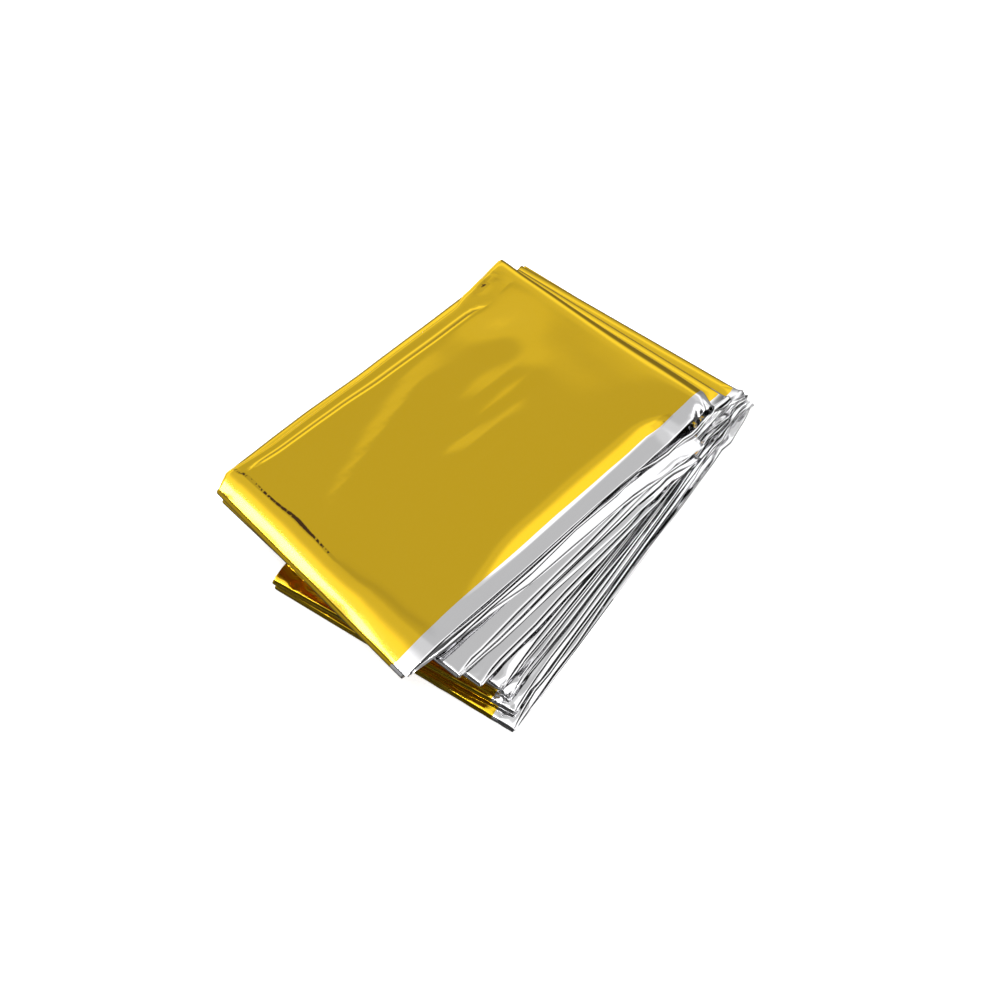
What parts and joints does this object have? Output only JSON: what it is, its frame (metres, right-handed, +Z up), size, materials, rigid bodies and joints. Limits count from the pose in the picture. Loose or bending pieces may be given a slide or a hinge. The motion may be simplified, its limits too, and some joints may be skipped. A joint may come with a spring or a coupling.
{
  "type": "emergency foil blanket",
  "caption": "Thin metallised film sheet, gold one side and silver the other, folded to a narrow strip and then back and forth into a pack whose lower leaves fan out.",
  "frame": {"origin": "centre of the folded pack's footprint, on the surface that it lies on", "axes": "+X along the bottom leaves' length, towards the far crosswise folds; +Y across the strip, towards its lengthwise folds; -Y is the side where the film's free edges fan out; +Z up"},
  "size_m": [0.1682, 0.1264, 0.0244],
  "materials": {
    "gold_film": "gold-lacquered metallised film, satin mirror gloss, bare silver along its cut edges and on its other side"
  },
  "bodies": {
    "root": {"foil_blanket": "gold_film"}
  },
  "joints": []
}
